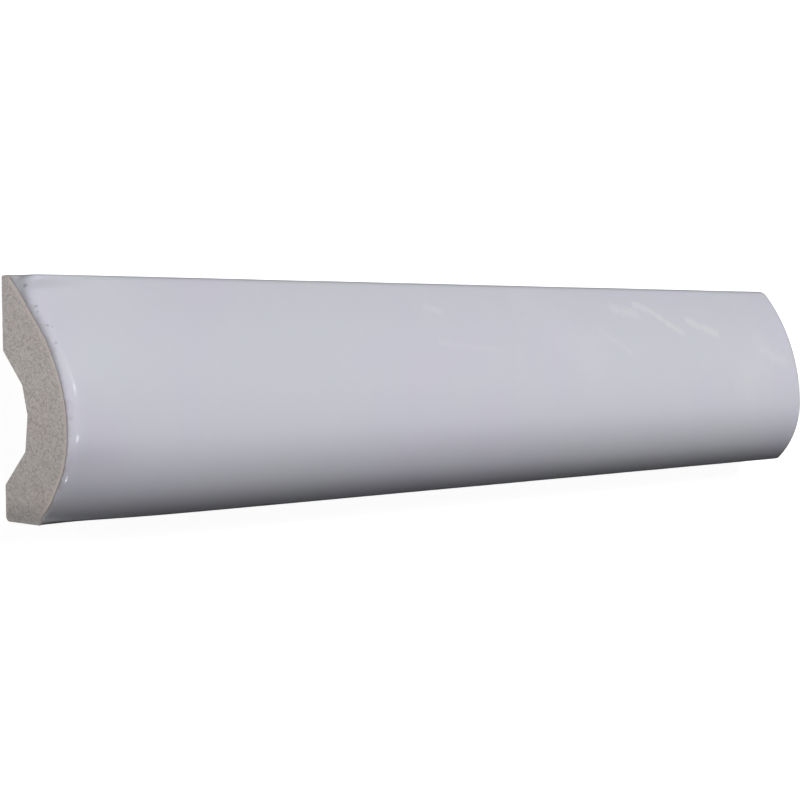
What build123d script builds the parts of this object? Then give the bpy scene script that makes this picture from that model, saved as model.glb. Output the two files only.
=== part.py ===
from build123d import *
import os
from math import hypot

# Glazed ceramic trim tile: a pressed rail moulding for a wall, fired as one piece.
# It lies on its back, as it would on a bench. X runs along the tile, Y goes up the wall from the
# bottom edge to the narrow top edge, and Z goes out from the wall. The origin is the middle of the
# tile's outline on the back plane.

# Overall size, in millimetres.
length = 200.0
height = 35.0
depth = 14.4

# Rounded front, measured up from the bottom edge and out from the back plane.
crown_rise = 12.0
bottom_ledge = 8.3
nose_radius = 1.9
nose_centre_out = 5.2

# Back: two flat feet that are bedded on the wall, with a keying groove between them.
upper_foot = 10.6
lower_foot = 5.5
upper_flank_run = 4.9
lower_flank_run = 4.7
upper_floor_depth = 4.0
lower_floor_depth = 4.4
valley_depth = 5.0
valley_rise = 15.3

# Edges.
end_round = 1.2
back_corner_radius = 0.7


def nose_front():
    """Where the rounded top edge runs smoothly into the upper front arc."""
    nose_rise = height - nose_radius
    rise = nose_rise - crown_rise
    out = depth - nose_centre_out
    arc_radius = (rise**2 + out**2 - nose_radius**2) / (2 * (out - nose_radius))
    arc_to_nose = (rise, arc_radius - out)
    share = nose_radius / hypot(*arc_to_nose)
    return nose_rise + share * arc_to_nose[0], nose_centre_out + share * arc_to_nose[1]


def section():
    """Cross-section of the tile, drawn as (rise from the bottom edge, distance out from the back)."""
    heel = (0, 0)
    toe = (0, bottom_ledge)
    crown = (crown_rise, depth)
    nose_top = (height, nose_centre_out)
    top_corner = (height, 0)
    groove = [
        (height - upper_foot, 0),
        (height - upper_foot - upper_flank_run, upper_floor_depth),
        (valley_rise, valley_depth),
        (lower_foot + lower_flank_run, lower_floor_depth),
        (lower_foot, 0),
    ]
    bottom = Line(heel, toe)
    lower_front = TangentArc(crown, toe, tangent=(-1, 0))
    upper_front = TangentArc(crown, nose_front(), tangent=(1, 0))
    nose = TangentArc(nose_top, nose_front(), tangent=(0, 1))
    top = Line(nose_top, top_corner)
    back = Polyline(top_corner, *groove, heel)
    return make_face([bottom, lower_front, upper_front, nose, top, back])


def trim_tile():
    """The section run along the tile, with rounded glazed edges at both ends."""
    profile = Plane.YZ * Pos(-height / 2, 0) * section()
    tile = extrude(profile, amount=length / 2, both=True)
    front_edges = tile.edges().filter_by(GeomType.CIRCLE)
    top_edges = tile.edges().filter_by(Axis.Z).sort_by(Axis.Y)[-2:]
    tile = fillet(front_edges + top_edges, end_round)
    heel_edge = tile.edges().filter_by(Axis.X).sort_by(Axis.Y)[:2].sort_by(Axis.Z)[0]
    return fillet(heel_edge, back_corner_radius)


os.makedirs("parts", exist_ok=True)
export_step(trim_tile(), "parts/trim_tile.step")
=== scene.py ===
from math import acos, atan2, cos, hypot, pi, sin, sqrt

import bpy
from mathutils import Matrix, Vector


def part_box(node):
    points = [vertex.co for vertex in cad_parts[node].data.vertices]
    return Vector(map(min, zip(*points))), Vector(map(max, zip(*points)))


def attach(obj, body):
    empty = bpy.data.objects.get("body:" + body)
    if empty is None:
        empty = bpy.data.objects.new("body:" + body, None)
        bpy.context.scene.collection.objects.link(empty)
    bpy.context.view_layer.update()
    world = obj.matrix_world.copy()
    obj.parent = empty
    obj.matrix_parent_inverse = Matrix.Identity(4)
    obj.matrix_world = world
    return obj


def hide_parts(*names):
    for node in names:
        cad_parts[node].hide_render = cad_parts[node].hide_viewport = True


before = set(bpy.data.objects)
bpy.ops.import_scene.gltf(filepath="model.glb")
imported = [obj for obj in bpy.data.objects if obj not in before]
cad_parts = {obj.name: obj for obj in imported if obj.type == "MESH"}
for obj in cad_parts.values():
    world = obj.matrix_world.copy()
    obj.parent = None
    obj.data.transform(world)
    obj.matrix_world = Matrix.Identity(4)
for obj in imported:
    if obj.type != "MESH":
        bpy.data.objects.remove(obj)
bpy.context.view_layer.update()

mm = 0.001

# Section of the rail in millimetres: rise is up from the bottom edge, out is away from the wall
rail = {
    "crownRise": 12.0,
    "bottomLedge": 8.3,
    "noseRadius": 1.9,
    "noseOut": 5.2,
    "topGlazeOut": 1.6,  # where the glaze on the top edge stops, short of the back
    "upperFoot": 10.6,
    "lowerFoot": 5.5,
    "upperFlankRun": 4.9,
    "lowerFlankRun": 4.7,
    "upperFloorDepth": 4.0,
    "lowerFloorDepth": 4.4,
    "valleyDepth": 5.0,
    "valleyRise": 15.3,
    "heelRadius": 0.8,
    "topCornerRadius": 0.35,
    "toeRadius": 0.7,
    "clayLift": 0.3,  # how far the glaze lip hangs below the bare bottom
    "frontStep": 0.45,  # spacing of the points round the front
    "cornerStep": 0.18,  # and round the small corners
    "samePoint": 0.0001,  # points closer than this are one
    "sharpAngle": 0.6,  # radians past which an edge is shaded sharp
}

# How the glaze ends on the bare clay ends, in millimetres
glazeEdge = {
    # Going up the near end: rise, how far in from the front the bare clay begins, the share of that
    # which comes as a long soft slope, and the stretch of the tile over which the rest turns in
    "nearTurn": (
        (0.3, 1.25, 0.72, 0.6), (2.0, 1.30, 0.80, 0.9), (4.0, 1.35, 0.80, 1.4), (8.0, 1.14, 0.75, 2.2),
        (13.0, 0.92, 0.20, 2.8), (19.0, 1.12, 0.10, 2.4), (24.0, 1.65, 0.45, 1.4), (30.0, 2.78, 0.62, 1.5),
        (33.5, 3.10, 0.55, 2.0), (35.0, 3.20, 0.00, 2.2),
    ),
    "softRun": 26.0,  # length of the soft slope
    "lipEnd": (0.0, 7.3),  # rise and out of the hanging edge of the lip at the near end
    "farTurn": 1.9,
    "farInset": 1.8,
    "farToe": (0.05, 9.0),  # share of that inset at the toe, and the rise where it is whole
    "lap": 0.05,  # how far the glaze runs in over the clay at the least
    "lapWander": 0.16,  # and how much further it wanders
    "wanderScale": 0.30,
    "wanderRange": (0.35, 0.70),
    "endShift": 3.7,  # moves the wander, so that the two ends differ
    "beadWidth": 0.12,
    "beadShoulder": (0.55, 0.35),  # shares of the bead's width and of the clay step
    "ringWidth": 0.9,  # bare clay beside the bead that has loops of its own
    "clayStep": 0.16,  # how far the bare clay stands back
    "waveHeight": 0.05,
    "waveSize": 17.0,
    "mergeGap": 0.002,
    "openClay": 1.0,  # distance that clay far from the glaze is given
    "glazeLimit": 0.02,  # least cover that counts as glaze
    "capLimit": 0.8,  # least cap share that counts as bare clay
    "bodyStations": 52,  # loops in each half of the tile, past the end zone
    "endSteps": 30,  # loops in the end zone, which is as long as the soft slope
    "seed": 4.0,
}

tileLow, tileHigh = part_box("trim_tile")
lengthMm = (tileHigh[0] - tileLow[0]) / mm
heightMm = (tileHigh[1] - tileLow[1]) / mm
depthMm = (tileHigh[2] - tileLow[2]) / mm


# Node helpers

def addNode(tree, kind, **settings):
    node = tree.nodes.new(kind)
    for name, value in settings.items():
        setattr(node, name, value)
    return node


def feed(tree, socket, value):
    if isinstance(value, bpy.types.NodeSocket):
        tree.links.new(value, socket)
    elif value is not None:
        socket.default_value = value


def maths(tree, operation, a, b=None, clamp=False):
    node = addNode(tree, "ShaderNodeMath", operation=operation, use_clamp=clamp)
    feed(tree, node.inputs[0], a)
    feed(tree, node.inputs[1], b)
    return node.outputs[0]


def vectorMaths(tree, operation, a, b=None, scale=None):
    node = addNode(tree, "ShaderNodeVectorMath", operation=operation)
    feed(tree, node.inputs[0], a)
    feed(tree, node.inputs[1], b)
    feed(tree, node.inputs[3], scale)
    return node.outputs[0]


def measure(tree, operation, a, b=None):
    node = addNode(tree, "ShaderNodeVectorMath", operation=operation)
    feed(tree, node.inputs[0], a)
    feed(tree, node.inputs[1], b)
    return node.outputs["Value"]


def mapRange(tree, value, fromLow, fromHigh, toLow=0.0, toHigh=1.0, smooth=True):
    node = addNode(tree, "ShaderNodeMapRange", interpolation_type="SMOOTHSTEP" if smooth else "LINEAR")
    for socket, number in zip(node.inputs[:5], (value, fromLow, fromHigh, toLow, toHigh)):
        feed(tree, socket, number)
    return node.outputs[0]


def mapMm(tree, value, fromLow, fromHigh, toLow, toHigh, smooth=True):
    # The same, with the range of the value given in millimetres
    return mapRange(tree, value, fromLow * mm, fromHigh * mm, toLow, toHigh, smooth)


def noise(tree, vector, scale, detail=2.0, roughness=0.5, distortion=0.0):
    node = addNode(tree, "ShaderNodeTexNoise")
    feed(tree, node.inputs["Vector"], vector)
    settings = {"Scale": scale, "Detail": detail, "Roughness": roughness, "Distortion": distortion}
    for name, value in settings.items():
        feed(tree, node.inputs[name], value)
    return node.outputs["Fac"]


def mixColour(tree, factor, a, b):
    node = addNode(tree, "ShaderNodeMix", data_type="RGBA", blend_type="MIX")
    feed(tree, node.inputs[0], factor)
    feed(tree, node.inputs[6], a)
    feed(tree, node.inputs[7], b)
    return node.outputs[2]


# Section outline

def arcPoints(centre, radius, start, end, step):
    count = max(4, int(abs(end - start) * radius / step + 0.5))
    for k in range(count + 1):
        angle = start + (end - start) * k / count
        yield centre[0] + radius * sin(angle), centre[1] + radius * cos(angle)


def sectionOutline():
    # Angles turn from straight out of the wall (0) up to the top edge (+90) and down to the bottom (-90)
    r = rail
    step = r["frontStep"]
    fine = r["cornerStep"]
    lowerRadius = (r["crownRise"]**2 + (depthMm - r["bottomLedge"])**2) / (2 * (depthMm - r["bottomLedge"]))
    noseRise = heightMm - r["noseRadius"]
    rise = noseRise - r["crownRise"]
    out = depthMm - r["noseOut"]
    upperRadius = (rise**2 + out**2 - r["noseRadius"]**2) / (2 * (out - r["noseRadius"]))
    lowerCentre = (r["crownRise"], depthMm - lowerRadius)
    upperCentre = (r["crownRise"], depthMm - upperRadius)
    noseTurn = atan2(rise, r["noseOut"] - upperCentre[1])
    toe = r["toeRadius"]
    toeOut = lowerCentre[1] + sqrt((lowerRadius - toe)**2 - (r["crownRise"] - toe)**2)
    toeTurn = atan2(toe - r["crownRise"], toeOut - lowerCentre[1])
    lipTurn = -pi / 2 - acos(1 - r["clayLift"] / toe)
    heel = r["heelRadius"]
    corner = r["topCornerRadius"]

    outline = []

    def run(points, cover):
        for p in points:
            if not outline or hypot(p[0] - outline[-1][0], p[1] - outline[-1][1]) > r["samePoint"]:
                outline.append((p[0], p[1], cover))

    run(arcPoints((r["clayLift"] + heel, heel), heel, -pi, -pi / 2, fine), 0)
    run(arcPoints((toe, toeOut), toe, lipTurn, toeTurn, fine), "lip")
    run(arcPoints(lowerCentre, lowerRadius, toeTurn, 0, step), 1)
    run(arcPoints(upperCentre, upperRadius, 0, noseTurn, step), 1)
    run(arcPoints((noseRise, r["noseOut"]), r["noseRadius"], noseTurn, pi / 2, fine), "nose")
    landRun = r["noseOut"] - r["topGlazeOut"]
    landSteps = int(landRun / step + 0.5)
    run([(heightMm, r["noseOut"] - landRun * k / landSteps) for k in range(1, landSteps + 1)], "land")
    run([(heightMm, r["topGlazeOut"] - fine)], 0)
    run(arcPoints((heightMm - corner, corner), corner, pi / 2, pi, fine), 0)
    upperFootEnd = heightMm - r["upperFoot"]
    run([(upperFootEnd, 0)], 0)
    run([(upperFootEnd - r["upperFlankRun"], r["upperFloorDepth"])], 0)
    run([(r["valleyRise"], r["valleyDepth"])], 0)
    run([(r["lowerFoot"] + r["lowerFlankRun"], r["lowerFloorDepth"])], 0)
    run([(r["lowerFoot"], 0)], 0)
    return outline


def eased(outline, tag, rising):
    # Shares across one stretch of the outline, easing between 0 and 1
    picked = [i for i, p in enumerate(outline) if p[2] == tag]
    for k, i in enumerate(picked):
        share = k / (len(picked) - 1)
        share = share if rising else 1 - share
        yield i, share * share * (3 - 2 * share)


def coverValues(outline):
    # 1 where the glaze lies, easing to 0 across the lip
    values = [0.0 if p[2] == 0 else 1.0 for p in outline]
    for i, share in eased(outline, "lip", True):
        values[i] = share
    return values


def roundValues(outline, cover):
    # 1 where the far end is rounded in full, less at the toe, easing to 0 across the lip and the top edge
    least, whole = glazeEdge["farToe"]
    values = [c * (least + (1 - least) * min(1.0, p[0] / whole)) for c, p in zip(cover, outline)]
    for i, share in eased(outline, "land", False):
        values[i] = share
    return values


def alongTable(table, at, column):
    # A smooth curve through one column of a table
    spots = [row[0] for row in table]
    values = [row[column] for row in table]
    last = len(table) - 1
    at = min(max(at, spots[0]), spots[last])
    k = max(i for i in range(last) if spots[i] <= at)
    gap = spots[k + 1] - spots[k]
    share = (at - spots[k]) / gap

    def slope(i):
        before = max(i - 1, 0)
        after = min(i + 1, last)
        return (values[after] - values[before]) / (spots[after] - spots[before]) * gap

    ease = share * share * (3 - 2 * share)
    bend = slope(k) * share * (1 - share)**2 - slope(k + 1) * share * share * (1 - share)
    return values[k] + (values[k + 1] - values[k]) * ease + bend


def bareLine(outline, outward):
    # Where the bare clay of the near end begins, for each point of the glazed outline
    line = [None] * len(outline)
    for i, (riseHere, outHere, tag) in enumerate(outline):
        if tag == 1:
            inset = alongTable(glazeEdge["nearTurn"], riseHere, 1)
            line[i] = (riseHere - outward[i].y * inset, outHere - outward[i].z * inset)
    lip = [i for i, p in enumerate(outline) if p[2] == "lip"]
    foot = glazeEdge["lipEnd"]
    for k, i in enumerate(lip):
        share = k / len(lip)
        line[i] = tuple(a + (b - a) * share for a, b in zip(foot, line[lip[-1] + 1]))
    over = [i for i, p in enumerate(outline) if p[2] in ("nose", "land")]
    first = over[0] - 1
    goal = (heightMm, rail["topGlazeOut"])
    travelled = [0.0]
    for a, b in zip([first] + over, over):
        step = hypot(outline[b][0] - outline[a][0], outline[b][1] - outline[a][1])
        travelled.append(travelled[-1] + step)
    for i, distance in zip(over, travelled[1:]):
        share = distance / travelled[-1]
        line[i] = tuple(a + (b - a) * share for a, b in zip(line[first], goal))
    return line


def edgeRuns(outline, cover):
    # Distance along the outline from the nearer edge of the glazed stretch
    glazed = [i for i, c in enumerate(cover) if c > glazeEdge["glazeLimit"]]
    runs = [0.0] * len(outline)
    for order in (glazed, glazed[::-1]):
        travelled = 0.0
        for k, i in enumerate(order):
            if k:
                j = order[k - 1]
                travelled += hypot(outline[i][0] - outline[j][0], outline[i][1] - outline[j][1])
            runs[i] = travelled if order is glazed else min(runs[i], travelled)
    return runs


def lineMesh(name, points, cyclic, numbers, vectors):
    mesh = bpy.data.meshes.new(name)
    edges = [(i, i + 1) for i in range(len(points) - 1)]
    if cyclic:
        edges.append((len(points) - 1, 0))
    mesh.from_pydata(points, edges, [])
    for key, values in numbers.items():
        mesh.attributes.new(key, "FLOAT", "POINT").data.foreach_set("value", [float(v) for v in values])
    for key, values in vectors.items():
        flat = [c for v in values for c in v]
        mesh.attributes.new(key, "FLOAT_VECTOR", "POINT").data.foreach_set("vector", flat)
    obj = bpy.data.objects.new(name, mesh)
    bpy.context.scene.collection.objects.link(obj)
    return obj


def sectionObject():
    outline = sectionOutline()
    cover = coverValues(outline)
    rounded = roundValues(outline, cover)
    count = len(outline)
    places = []
    outward = []
    for i, (riseHere, outHere, _) in enumerate(outline):
        before = outline[i - 1]
        after = outline[(i + 1) % count]
        along = Vector((0, after[0] - before[0], after[1] - before[1])).normalized()
        outward.append(Vector((0, -along.z, along.y)))
        places.append((0.0, (riseHere - heightMm / 2) * mm, outHere * mm))

    # How each end draws the outline in, and the way on into the clay
    bare = bareLine(outline, outward)
    drawNear = []
    drawFar = []
    inward = []
    for i, spot in enumerate(bare):
        here = Vector((0, outline[i][0], outline[i][1]))
        drawFar.append(outward[i] * -glazeEdge["farInset"] * rounded[i] * mm)
        if spot is None:
            drawNear.append(Vector((0, 0, 0)))
            inward.append(Vector((0, 0, 0)))
            continue
        drawNear.append((Vector((0, *spot)) - here) * mm)
        before = bare[i - 1] or spot
        after = bare[(i + 1) % count] or spot
        along = Vector((0, after[0] - before[0], after[1] - before[1])).normalized()
        inward.append(Vector((0, along.z, -along.y)) * cover[i])

    table = glazeEdge["nearTurn"]
    numbers = {
        "cover": cover,
        "softShare": [alongTable(table, p[0], 2) for p in outline],
        "turnLength": [alongTable(table, p[0], 3) * mm for p in outline],
        "edgeRun": [v * mm for v in edgeRuns(outline, cover)],
    }
    vectors = {
        "sectionPoint": places,
        "outward": outward,
        "inward": inward,
        "drawNear": drawNear,
        "drawFar": drawFar,
    }
    return lineMesh("railSection", [(p[1], p[2], 0.0) for p in places], True, numbers, vectors)


def spineObject():
    # One row per loop: the nearer end, the gap to it, and the shares of lap, bead and cap
    e = glazeEdge
    half = [
        (0, 1, e["ringWidth"] / e["beadWidth"] + 1, 1),  # bare clay
        (0, 1, 1, 1),  # foot of the bead
        (0, 1, *e["beadShoulder"]),
        (0, 1, 0, 0),  # edge of the lap
        (0, 0.5, 0, 0),  # half way over the lap
    ]
    for k in range(e["endSteps"] + 1):
        share = (k / e["endSteps"])**3  # closest together at the very end
        half.append((e["softRun"] * mm * share, 0, 0, 0))
    straight = lengthMm / 2 - e["softRun"]
    for k in range(1, e["bodyStations"] + 1):
        half.append(((e["softRun"] + straight * k / e["bodyStations"]) * mm, 0, 0, 0))
    rows = [(-1, *row) for row in half]
    rows += [(1, *row) for row in half[-2::-1]]
    names = ("side", "gap", "lapShare", "beadShare", "capShare")
    numbers = {name: [row[i] for row in rows] for i, name in enumerate(names)}
    points = [(k * mm, 0.0, 0.0) for k in range(len(rows))]
    return lineMesh("railSpine", points, False, numbers, {})


# Geometry Nodes: the section is run along the spine, and the glaze turns in over both ends

def sweepTree():
    e = glazeEdge
    tree = bpy.data.node_groups.new("railSweep", "GeometryNodeTree")
    wanted = {
        "NodeSocketObject": ("Section", "Spine"),
        "NodeSocketFloat": ("Half Length", "Soft Run", "Far Turn", "Lap", "Lap Wander", "Bead Width",
                            "Clay Step", "Wave Height", "Wave Size", "Merge Gap", "Seed"),
        "NodeSocketMaterial": ("Glaze", "Clay"),
    }
    tree.interface.new_socket("Geometry", in_out="INPUT", socket_type="NodeSocketGeometry")
    for kind, names in wanted.items():
        for name in names:
            tree.interface.new_socket(name, in_out="INPUT", socket_type=kind)
    tree.interface.new_socket("Geometry", in_out="OUTPUT", socket_type="NodeSocketGeometry")
    given = addNode(tree, "NodeGroupInput").outputs

    def attribute(name, kind="FLOAT"):
        node = addNode(tree, "GeometryNodeInputNamedAttribute", data_type=kind)
        node.inputs["Name"].default_value = name
        return node.outputs["Attribute"]

    def curveOf(source):
        info = addNode(tree, "GeometryNodeObjectInfo")
        feed(tree, info.inputs["Object"], source)
        curve = addNode(tree, "GeometryNodeMeshToCurve")
        feed(tree, curve.inputs["Mesh"], info.outputs["Geometry"])
        return curve.outputs["Curve"]

    sweep = addNode(tree, "GeometryNodeCurveToMesh")
    feed(tree, sweep.inputs["Curve"], curveOf(given["Spine"]))
    feed(tree, sweep.inputs["Profile Curve"], curveOf(given["Section"]))
    feed(tree, sweep.inputs["Fill Caps"], True)

    side = attribute("side")
    gap = attribute("gap")
    cover = attribute("cover")
    capShare = attribute("capShare")
    section = attribute("sectionPoint", "FLOAT_VECTOR")
    outward = attribute("outward", "FLOAT_VECTOR")
    isFar = maths(tree, "GREATER_THAN", side, 0.0)

    def byEnd(near, far):
        return maths(tree, "ADD", near, maths(tree, "MULTIPLY", maths(tree, "SUBTRACT", far, near), isFar))

    # Place along the tile: bare clay stands back from the glaze by the clay step
    bare = maths(tree, "MAXIMUM", maths(tree, "SUBTRACT", 1.0, cover), capShare)
    reach = maths(tree, "SUBTRACT", given["Half Length"], maths(tree, "MULTIPLY", bare, given["Clay Step"]))
    place = maths(tree, "MINIMUM", maths(tree, "SUBTRACT", given["Half Length"], gap), reach)
    place = maths(tree, "MULTIPLY", place, side)

    # Share turned in, from 0 past the turn to 1 at the end: a long soft slope, then a round turn
    def nearness(stretch):
        share = maths(tree, "SUBTRACT", 1.0, maths(tree, "DIVIDE", gap, stretch), clamp=True)
        return maths(tree, "MULTIPLY", share, share)

    softShare = byEnd(attribute("softShare"), 0.0)
    slope = nearness(given["Soft Run"])
    turn = nearness(byEnd(attribute("turnLength"), given["Far Turn"]))
    turn = maths(tree, "SUBTRACT", 1.0, maths(tree, "SQRT", maths(tree, "SUBTRACT", 1.0, turn)))
    softer = maths(tree, "MULTIPLY", softShare, maths(tree, "SUBTRACT", slope, turn))
    turnIn = maths(tree, "ADD", turn, softer)
    leftIn = maths(tree, "SUBTRACT", 1.0, turnIn)

    # The edge of the glaze wanders along the section, and differs at the two ends
    wanderAt = addNode(tree, "ShaderNodeCombineXYZ")
    shift = maths(tree, "MULTIPLY", maths(tree, "ADD", side, given["Seed"]), e["endShift"])
    feed(tree, wanderAt.inputs[0], shift)
    spot = vectorMaths(tree, "ADD", vectorMaths(tree, "SCALE", section, scale=1 / mm), wanderAt.outputs[0])
    wander = noise(tree, spot, e["wanderScale"], 3.0, 0.6)
    wander = mapRange(tree, wander, *e["wanderRange"], 0.0, given["Lap Wander"])
    wander = maths(tree, "ADD", wander, given["Lap"])

    # How far the outline is drawn in
    lapShare = attribute("lapShare")
    beadShare = attribute("beadShare")
    draw = addNode(tree, "ShaderNodeMix", data_type="VECTOR")
    feed(tree, draw.inputs[0], isFar)
    feed(tree, draw.inputs[4], attribute("drawNear", "FLOAT_VECTOR"))
    feed(tree, draw.inputs[5], attribute("drawFar", "FLOAT_VECTOR"))
    turned = vectorMaths(tree, "SCALE", draw.outputs[1], scale=turnIn)
    beaded = maths(tree, "MULTIPLY", beadShare, given["Bead Width"])
    lapped = maths(tree, "ADD", maths(tree, "MULTIPLY", lapShare, wander), beaded)
    inward = vectorMaths(tree, "SCALE", attribute("inward", "FLOAT_VECTOR"), scale=lapped)
    turned = vectorMaths(tree, "ADD", turned, inward)

    # Slow waves in the glaze
    placed = addNode(tree, "ShaderNodeCombineXYZ")
    feed(tree, placed.inputs[0], place)
    base = vectorMaths(tree, "ADD", section, placed.outputs[0])
    seeded = vectorMaths(tree, "ADD", vectorMaths(tree, "DIVIDE", base, given["Wave Size"]), given["Seed"])
    wave = maths(tree, "SUBTRACT", noise(tree, seeded, 1.0, 1.5, 0.45), 0.5)
    wave = maths(tree, "MULTIPLY", maths(tree, "MULTIPLY", wave, 2.0), given["Wave Height"])
    wave = maths(tree, "MULTIPLY", wave, cover)
    final = vectorMaths(tree, "ADD", base, vectorMaths(tree, "SCALE", outward, scale=wave))
    final = vectorMaths(tree, "ADD", final, turned)

    setPlace = addNode(tree, "GeometryNodeSetPosition")
    feed(tree, setPlace.inputs["Geometry"], sweep.outputs["Mesh"])
    feed(tree, setPlace.inputs["Position"], final)

    # Distances that the materials read: from the bare clay over the glaze, and into the clay
    fromLap = maths(tree, "MULTIPLY", maths(tree, "SUBTRACT", 1.0, lapShare), wander)
    across = maths(tree, "MULTIPLY", measure(tree, "LENGTH", draw.outputs[1]), leftIn)
    across = maths(tree, "MULTIPLY", across, across)
    fromTurn = maths(tree, "ADD", across, maths(tree, "MULTIPLY", gap, gap))
    fromEnd = maths(tree, "ADD", fromLap, maths(tree, "SQRT", fromTurn))
    nearest = maths(tree, "MINIMUM", fromEnd, attribute("edgeRun"))
    onCap = maths(tree, "MULTIPLY", maths(tree, "GREATER_THAN", capShare, e["capLimit"]), cover)
    pastBead = maths(tree, "MULTIPLY", maths(tree, "SUBTRACT", beadShare, 1.0), given["Bead Width"])
    pastBead = maths(tree, "MULTIPLY", onCap, pastBead)
    elsewhere = maths(tree, "MULTIPLY", maths(tree, "SUBTRACT", 1.0, onCap), e["openClay"] * mm)
    intoClay = maths(tree, "ADD", pastBead, elsewhere)

    def keep(geometry, name, value):
        store = addNode(tree, "GeometryNodeStoreNamedAttribute", data_type="FLOAT", domain="POINT")
        store.inputs["Name"].default_value = name
        feed(tree, store.inputs["Geometry"], geometry)
        feed(tree, store.inputs["Value"], value)
        return store.outputs["Geometry"]

    shape = keep(setPlace.outputs["Geometry"], "rimRun", nearest)
    shape = keep(shape, "clayRun", intoClay)
    merged = addNode(tree, "GeometryNodeMergeByDistance")
    feed(tree, merged.inputs["Geometry"], shape)
    feed(tree, merged.inputs["Distance"], given["Merge Gap"])
    shape = merged.outputs["Geometry"]

    smooth = addNode(tree, "GeometryNodeSetShadeSmooth")
    feed(tree, smooth.inputs["Geometry"], shape)
    realized = addNode(tree, "GeometryNodeRealizeInstances")
    feed(tree, realized.inputs["Geometry"], smooth.outputs["Geometry"])

    def paint(geometry, material, selection=None):
        node = addNode(tree, "GeometryNodeSetMaterial")
        feed(tree, node.inputs["Geometry"], geometry)
        feed(tree, node.inputs["Material"], material)
        feed(tree, node.inputs["Selection"], selection)
        return node.outputs["Geometry"]

    covered = maths(tree, "GREATER_THAN", cover, e["glazeLimit"])
    glazed = maths(tree, "MULTIPLY", covered, maths(tree, "LESS_THAN", capShare, e["capLimit"]))
    painted = paint(realized.outputs["Geometry"], given["Clay"])
    painted = paint(painted, given["Glaze"], glazed)
    feed(tree, addNode(tree, "NodeGroupOutput").inputs["Geometry"], painted)
    return tree


def sweptMesh(name, tree, values):
    host = bpy.data.objects.new(name, bpy.data.meshes.new(name))
    bpy.context.scene.collection.objects.link(host)
    modifier = host.modifiers.new("sweep", "NODES")
    modifier.node_group = tree
    sockets = {s.name: s.identifier for s in tree.interface.items_tree if s.in_out == "INPUT"}
    for key, value in values.items():
        modifier[sockets[key]] = value
    depsgraph = bpy.context.evaluated_depsgraph_get()
    mesh = bpy.data.meshes.new_from_object(host.evaluated_get(depsgraph), preserve_all_data_layers=True,
                                           depsgraph=depsgraph)
    host.modifiers.clear()
    host.data = mesh
    mesh.name = name
    return host


# Materials

def shaderTree(name):
    material = bpy.data.materials.new(name)
    material.use_nodes = True
    tree = material.node_tree
    shader = tree.nodes["Principled BSDF"]
    place = addNode(tree, "ShaderNodeTexCoord").outputs["Object"]
    return material, tree, shader, place


def bump(tree, height, strength, distance, normal=None):
    node = addNode(tree, "ShaderNodeBump")
    node.inputs["Strength"].default_value = strength
    node.inputs["Distance"].default_value = distance
    feed(tree, node.inputs["Height"], height)
    feed(tree, node.inputs["Normal"], normal)
    return node.outputs["Normal"]


glazeFinish = {
    "lavender": (0.672, 0.666, 0.758, 1.0),
    "coolWhite": (0.674, 0.684, 0.740, 1.0),
    # pale colour of the painted reflection streaks
    "paintedReflection": (0.768, 0.766, 0.800, 1.0),
    "thinTint": (0.430, 0.380, 0.385, 1.0),
    # dark colour of the painted shadow along the step to the bare clay
    "rimShadowLine": (0.300, 0.255, 0.250, 1.0),
    "pinhole": (0.160, 0.150, 0.165, 1.0),
    "roughness": 0.08,
    "unevenScale": 140.0,
    "unevenGloss": 0.05,
    "thinRoughness": 0.12,  # added where the glaze is thin
    "ior": 1.5,
    "cloudScale": 42.0,
    "cloudRange": (0.36, 0.64),
    # Painted light and shade up the front: two heights from the middle in millimetres,
    # and the strength at each
    "toePaintedShade": (-17.0, -12.5, 0.91, 1.06),
    "topPaintedShade": (-4.0, 15.0, 1.0, 0.908),
    # Beside the bare clay, with widths in millimetres
    "thinWidth": (0.1, 1.4),  # from the clay to full thickness
    "thinMix": 0.32,
    "thinPatches": 480.0,
    "thinPatchRange": (0.35, 0.65, 0.3, 1.4),
    "raggedScale": 900.0,
    "raggedness": 1.4,
    "rimShadowLineWidth": (0.05, 0.36),
    "rimShadowLineFade": (-12.0, 6.0, 0.85, 0.45),  # strength of the painted shadow line at two heights
    "peelScale": 420.0,
    "peelStrength": 0.10,
    "peelDepth": 0.10,
    "pinholeCore": 0.1,  # share of a pinhole's radius that is darkest
    "pinholeDent": 0.8,
    "wispMix": 0.75,
    "wispSpread": 1.5,  # how far a wisp fades out, in half widths
    "frayScale": 520.0,
    "fray": 2.4,  # in half widths
    # Painted reflection streaks: start and end of each streak along the tile and up from its middle in
    # millimetres,
    # half width, and strength
    "reflectionWisps": (
        ((38.5, 13.5), (45.5, 12.5), 1.1, 0.75),
        ((46.5, 14.3), (51.0, 12.9), 0.9, 0.90),
        ((51.0, 12.9), (58.5, 8.8), 0.8, 1.00),
        ((62.5, 11.2), (71.0, 8.8), 1.0, 0.90),
        ((86.5, 5.5), (93.5, 3.0), 1.7, 0.60),
        ((30.5, 9.5), (39.0, 5.2), 0.6, 0.40),
        ((-17.0, 13.4), (-14.0, 12.9), 0.9, 0.55),
        ((-17.0, 7.4), (-2.0, 6.0), 0.5, 0.30),
        ((12.0, 14.5), (26.0, 5.0), 5.0, 0.25),
        ((78.0, -1.0), (86.0, 4.0), 5.0, 0.30),
    ),
    # Pinholes and smudges beside the near end: place and radius in millimetres, and how dark
    "pinholes": (
        (-99.8, 15.9, 4.9, 0.30, 0.38), (-99.6, 13.9, 6.0, 0.30, 0.30), (-99.4, 13.0, 6.8, 0.32, 0.42),
        (-99.6, 12.2, 7.3, 0.28, 0.38), (-99.3, 10.3, 9.0, 0.30, 0.45), (-98.8, 10.1, 9.4, 0.26, 0.25),
        (-99.3, 7.8, 10.7, 0.45, 0.22), (-99.4, 17.0, 3.9, 0.95, 0.28),
    ),
}


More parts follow.
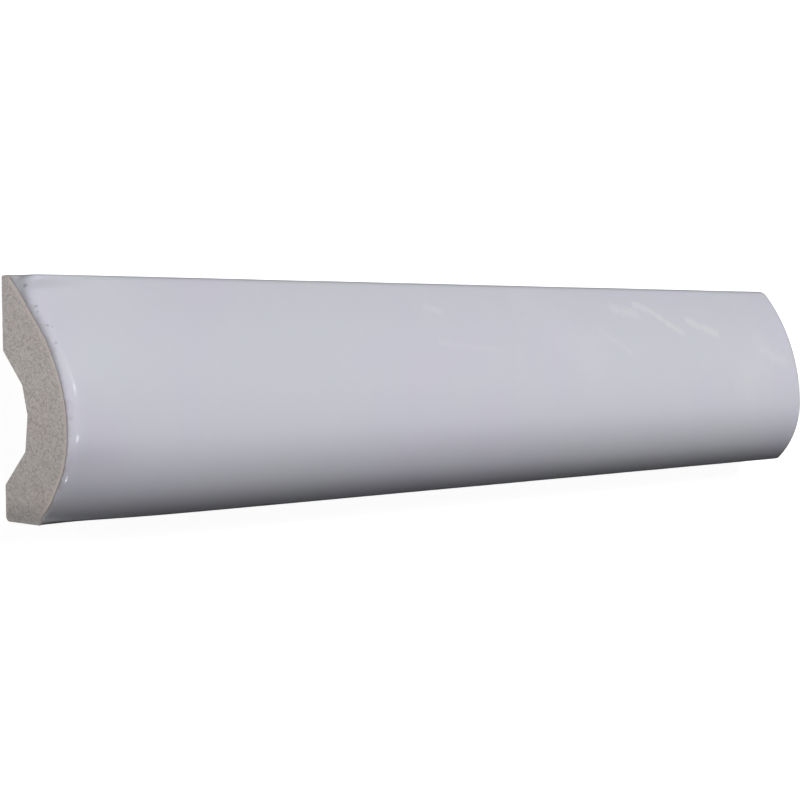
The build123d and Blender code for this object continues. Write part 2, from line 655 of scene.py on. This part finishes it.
def whiteGlaze():
    g = glazeFinish
    material, tree, shader, place = shaderTree("whiteGlaze")
    rimRun = addNode(tree, "ShaderNodeAttribute", attribute_name="rimRun").outputs["Fac"]
    clouds = mapRange(tree, noise(tree, place, g["cloudScale"], 3.0, 0.55, 0.4), *g["cloudRange"])
    colour = mixColour(tree, clouds, g["lavender"], g["coolWhite"])

    # Painted reflection streaks, each along its own short line, with frayed edges
    axes = addNode(tree, "ShaderNodeSeparateXYZ")
    feed(tree, axes.inputs[0], place)
    flat = vectorMaths(tree, "MULTIPLY", place, (1.0, 1.0, 0.0))
    fray = maths(tree, "SUBTRACT", noise(tree, place, g["frayScale"], 3.0, 0.6), 0.5)
    reflectionWisps = 0.0
    for begin, end, width, strength in g["reflectionWisps"]:
        begin = Vector((*begin, 0.0)) * mm
        along = Vector((*end, 0.0)) * mm - begin
        toHere = vectorMaths(tree, "SUBTRACT", flat, begin)
        share = measure(tree, "DOT_PRODUCT", toHere, along / along.length_squared)
        share = maths(tree, "ADD", share, 0.0, clamp=True)
        away = measure(tree, "DISTANCE", toHere, vectorMaths(tree, "SCALE", along, scale=share))
        away = maths(tree, "ADD", away, maths(tree, "MULTIPLY", fray, width * g["fray"] * mm))
        wisp = mapMm(tree, away, 0.0, g["wispSpread"] * width, strength, 0.0)
        reflectionWisps = maths(tree, "MAXIMUM", reflectionWisps, wisp)
    colour = mixColour(tree, maths(tree, "MULTIPLY", reflectionWisps, g["wispMix"]), colour, g["paintedReflection"])

    # Painted light and shade on the glaze colour: darker over the toe and towards the top edge, a little
    # lighter between
    paintedToeShade = mapMm(tree, axes.outputs["Y"], *g["toePaintedShade"])
    paintedTopShade = mapMm(tree, axes.outputs["Y"], *g["topPaintedShade"])
    colour = vectorMaths(tree, "SCALE", colour, scale=maths(tree, "MULTIPLY", paintedToeShade, paintedTopShade))

    # Thin glaze beside the bare clay lets the body show, with a few pinholes
    ragged = maths(tree, "SUBTRACT", noise(tree, place, g["raggedScale"], 3.0, 0.6), 0.5)
    ragged = maths(tree, "MULTIPLY", ragged, g["raggedness"] * mm)
    patches = mapRange(tree, noise(tree, place, g["thinPatches"], 2.0), *g["thinPatchRange"])
    thin = mapMm(tree, maths(tree, "ADD", rimRun, ragged), *g["thinWidth"], 1.0, 0.0)
    thin = maths(tree, "MULTIPLY", thin, patches)
    colour = mixColour(tree, maths(tree, "MULTIPLY", thin, g["thinMix"]), colour, g["thinTint"])
    # A dark line along the bare clay is painted shadow of the step between glaze and clay, stronger low
    # down
    rimShadowStrength = mapMm(tree, axes.outputs["Y"], *g["rimShadowLineFade"])
    rimShadowLine = mapMm(tree, rimRun, *g["rimShadowLineWidth"], 1.0, 0.0)
    colour = mixColour(tree, maths(tree, "MULTIPLY", rimShadowLine, rimShadowStrength), colour, g["rimShadowLine"])
    holes = 0.0
    for x, y, z, radius, strength in g["pinholes"]:
        away = measure(tree, "DISTANCE", place, (x * mm, y * mm, z * mm))
        away = maths(tree, "ADD", away, ragged)
        hole = mapMm(tree, away, g["pinholeCore"] * radius, radius, strength, 0.0)
        holes = maths(tree, "MAXIMUM", holes, hole)
    colour = mixColour(tree, holes, colour, g["pinhole"])

    feed(tree, shader.inputs["Base Color"], colour)
    uneven = maths(tree, "MULTIPLY", noise(tree, place, g["unevenScale"], 3.0), g["unevenGloss"])
    rough = maths(tree, "ADD", uneven, g["roughness"])
    rough = maths(tree, "ADD", rough, maths(tree, "MULTIPLY", thin, g["thinRoughness"]))
    feed(tree, shader.inputs["Roughness"], rough)
    shader.inputs["IOR"].default_value = g["ior"]
    dents = maths(tree, "MULTIPLY", holes, g["pinholeDent"])
    peel = maths(tree, "SUBTRACT", noise(tree, place, g["peelScale"], 2.0), dents)
    feed(tree, shader.inputs["Normal"], bump(tree, peel, g["peelStrength"], g["peelDepth"] * mm))
    return material


clayFinish = {
    "body": (0.625, 0.582, 0.554, 1.0),
    "lightGrain": (0.800, 0.760, 0.725, 1.0),
    "darkGrain": (0.380, 0.350, 0.332, 1.0),
    "flush": (0.630, 0.545, 0.510, 1.0),
    "edge": (0.800, 0.700, 0.645, 1.0),
    "roughness": (0.80, 0.94),  # from the dark grain to the light
    "roughRange": (0.3, 0.7),
    "specular": 0.25,
    "flushScale": 170.0,
    "flushRange": (0.50, 0.66),
    "flushMix": 0.5,
    "grainScale": 3000.0,
    "lightRange": (0.50, 0.64, 0.0, 0.6),
    "darkRange": (0.36, 0.50, 0.6, 0.0),
    "grainBump": (0.5, 0.12),  # strength, and depth in millimetres
    "gritScale": 2300.0,
    "gritBump": (0.25, 0.10),
    "edgeWidth": 0.9,
    "edgeMix": 0.75,
    # Painted light and shade, lighter high up and darker towards the bottom edge: two heights up from the
    # bottom edge in millimetres, and the strength of the colour at each
    "footShade": (0.0, 20.0, 0.92, 1.09),
    "paintedEdgeShade": (1.0, 4.0, 0.76, 1.0),
}


def bareClay():
    c = clayFinish
    material, tree, shader, place = shaderTree("bareClay")
    flush = mapRange(tree, noise(tree, place, c["flushScale"], 2.0, 0.5), *c["flushRange"])
    colour = mixColour(tree, maths(tree, "MULTIPLY", flush, c["flushMix"]), c["body"], c["flush"])
    grain = noise(tree, place, c["grainScale"], 3.0, 0.7)
    colour = mixColour(tree, mapRange(tree, grain, *c["lightRange"]), colour, c["lightGrain"])
    colour = mixColour(tree, mapRange(tree, grain, *c["darkRange"]), colour, c["darkGrain"])

    # Paler at the glaze; painted shade darkens it towards the foot and most at the bottom edge
    clayRun = addNode(tree, "ShaderNodeAttribute", attribute_name="clayRun").outputs["Fac"]
    beside = mapMm(tree, clayRun, 0.0, c["edgeWidth"], c["edgeMix"], 0.0)
    colour = mixColour(tree, beside, colour, c["edge"])
    axes = addNode(tree, "ShaderNodeSeparateXYZ")
    feed(tree, axes.inputs[0], place)
    rise = maths(tree, "ADD", axes.outputs["Y"], heightMm / 2 * mm)
    shade = mapMm(tree, rise, *c["footShade"], smooth=False)
    # painted shade at the very bottom edge
    paintedEdgeDark = mapMm(tree, rise, *c["paintedEdgeShade"])
    colour = vectorMaths(tree, "SCALE", colour, scale=maths(tree, "MULTIPLY", shade, paintedEdgeDark))
    feed(tree, shader.inputs["Base Color"], colour)
    grit = addNode(tree, "ShaderNodeTexVoronoi")
    feed(tree, grit.inputs["Vector"], place)
    grit.inputs["Scale"].default_value = c["gritScale"]
    feed(tree, shader.inputs["Roughness"], mapRange(tree, grain, *c["roughRange"], *c["roughness"]))
    strength, depth = c["grainBump"]
    normal = bump(tree, grain, strength, depth * mm)
    strength, depth = c["gritBump"]
    normal = bump(tree, grit.outputs["Distance"], strength, depth * mm, normal)
    feed(tree, shader.inputs["Normal"], normal)
    shader.inputs["Specular IOR Level"].default_value = c["specular"]
    return material


# The tile

section = sectionObject()
spine = spineObject()
tile = sweptMesh("glazed_rail", sweepTree(), {
    "Section": section,
    "Spine": spine,
    "Half Length": lengthMm / 2 * mm,
    "Soft Run": glazeEdge["softRun"] * mm,
    "Far Turn": glazeEdge["farTurn"] * mm,
    "Lap": glazeEdge["lap"] * mm,
    "Lap Wander": glazeEdge["lapWander"] * mm,
    "Bead Width": glazeEdge["beadWidth"] * mm,
    "Clay Step": glazeEdge["clayStep"] * mm,
    "Wave Height": glazeEdge["waveHeight"] * mm,
    "Wave Size": glazeEdge["waveSize"] * mm,
    "Merge Gap": glazeEdge["mergeGap"] * mm,
    "Seed": glazeEdge["seed"],
    "Glaze": whiteGlaze(),
    "Clay": bareClay(),
})
for helper in (section, spine):
    bpy.data.objects.remove(helper)
tile.data.set_sharp_from_angle(angle=rail["sharpAngle"])
print("tile swept:", len(tile.data.vertices), "points,", len(tile.data.polygons), "faces")

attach(tile, "root")
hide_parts("trim_tile")


# Stage: a pale floor with a pale wall round it, and soft lights

stage = {
    "floorHalf": 3.0,  # metres
    "wallHeight": 3.0,
    "floorDrop": 0.05,  # millimetres below the feet
    "floorColour": (0.35, 0.35, 0.35, 1.0),
    "floorGlow": 0.94,
    "floorRoughness": 0.9,
    "floorSpecular": 0.1,
    "dome": (0.0, 0.0, 0.0, 1.0),
}

# Where each light comes from, its distance and size in metres, its power, and if the gloss shows it
lights = {
    "keyLight": ((0.25, 0.53, 0.80), 1.3, 0.50, 13.3, False),
    "glossLight": ((0.27, 0.355, 0.88), 1.3, 0.16, 0.50, True),
    "fillLight": ((0.27, 0.30, 0.90), 1.3, 0.50, 0.55, False),
    "lowGloss": ((0.29, -0.18, 0.94), 1.3, 0.20, 0.60, True),
    "toeGloss": ((0.31, -0.72, 0.61), 1.3, 0.06, 0.20, True),
    "sideLight": ((-0.98, 0.15, 0.12), 1.5, 0.50, 11.0, False),
    "floorBounce": ((0.15, -0.60, -0.78), 1.3, 0.50, 2.0, False),  # from below, as off a pale floor
}


def makeFloor():
    half = stage["floorHalf"]
    z = -stage["floorDrop"] * mm
    mesh = bpy.data.meshes.new("floor")
    corners = ((-half, -half), (half, -half), (half, half), (-half, half))
    points = [(x, y, level) for level in (z, stage["wallHeight"]) for x, y in corners]
    walls = [((k + 1) % 4, k, k + 4, (k + 1) % 4 + 4) for k in range(4)]
    mesh.from_pydata(points, [], [(0, 1, 2, 3)] + walls)
    floor = bpy.data.objects.new("floor", mesh)
    bpy.context.scene.collection.objects.link(floor)
    material = bpy.data.materials.new("paleFloor")
    material.use_nodes = True
    shader = material.node_tree.nodes["Principled BSDF"]
    shader.inputs["Base Color"].default_value = stage["floorColour"]
    shader.inputs["Roughness"].default_value = stage["floorRoughness"]
    shader.inputs["Specular IOR Level"].default_value = stage["floorSpecular"]
    shader.inputs["Emission Color"].default_value = (1.0, 1.0, 1.0, 1.0)
    shader.inputs["Emission Strength"].default_value = stage["floorGlow"]
    mesh.materials.append(material)
    floor.visible_diffuse = False
    floor.visible_glossy = False
    floor.visible_shadow = False


def softLight(name, fromDirection, distance, size, power, inGloss):
    light = bpy.data.lights.new(name, "AREA")
    light.shape = "DISK"
    light.size = size
    light.energy = power
    obj = bpy.data.objects.new(name, light)
    direction = Vector(fromDirection).normalized()
    obj.location = direction * distance
    obj.rotation_euler = direction.to_track_quat("Z", "Y").to_euler()
    obj.visible_glossy = inGloss
    bpy.context.scene.collection.objects.link(obj)


makeFloor()
for name, settings in lights.items():
    softLight(name, *settings)

world = bpy.data.worlds.new("studio")
world.use_nodes = True
world.node_tree.nodes["Background"].inputs["Color"].default_value = stage["dome"]
bpy.context.scene.world = world
bpy.context.scene.view_settings.view_transform = "Standard"
print("stage and lights set")


photoCamera = {
    # Place and aim in millimetres, roll in radians
    "place": (-295.09, 5.42, 236.83),
    "aim": (-27.15, -1.93, 11.76),
    "lens": 96.49,
    "roll": -0.0154,
    "sensor": 36.0,
    "nearClip": 0.01,  # metres
}


def makeCamera():
    p = photoCamera
    data = bpy.data.cameras.new("photoCamera")
    data.lens = p["lens"]
    data.sensor_width = p["sensor"]
    data.clip_start = p["nearClip"]
    camera = bpy.data.objects.new("photoCamera", data)
    place = Vector(p["place"]) * mm
    forward = (Vector(p["aim"]) * mm - place).normalized()
    across = forward.cross(Vector((0.0, 1.0, 0.0))).normalized()
    up = across.cross(forward)
    across, up = across + up * p["roll"], up - across * p["roll"]
    turn = Matrix((across, up, -forward)).transposed().to_4x4()
    camera.matrix_world = Matrix.Translation(place) @ turn
    bpy.context.scene.collection.objects.link(camera)
    bpy.context.scene.camera = camera


makeCamera()
print("camera set")
